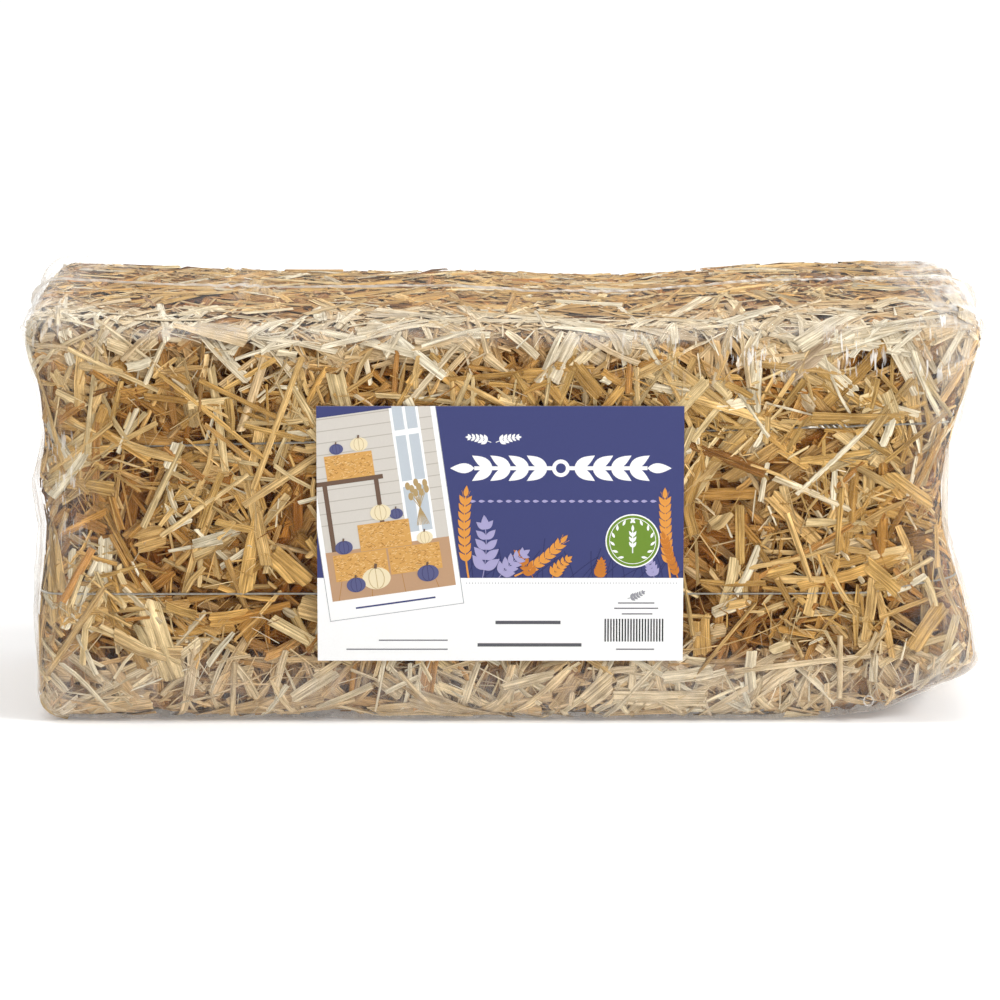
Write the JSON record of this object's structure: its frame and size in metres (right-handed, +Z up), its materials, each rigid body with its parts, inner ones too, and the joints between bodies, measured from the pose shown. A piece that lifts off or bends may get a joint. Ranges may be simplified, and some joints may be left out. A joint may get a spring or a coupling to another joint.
{
  "type": "square straw bale",
  "caption": "Small rectangular bale of pressed chopped straw, tied lengthwise with wires, shrunk in clear film with a front label; lies flat and stacks.",
  "frame": {"origin": "under the middle of the bale, in the plane it rests on", "axes": "+X runs along the bale, -Y is out of the labelled front, +Z is up"},
  "size_m": [0.5094, 0.2054, 0.2264],
  "materials": {
    "straw": "matte",
    "wire": "satin",
    "film": "gloss",
    "label": "satin"
  },
  "bodies": {
    "root": {"straw_block": "straw", "upper_tie_wire": "wire", "lower_tie_wire": "wire", "film_wrap": "film", "label": "label"}
  },
  "joints": []
}
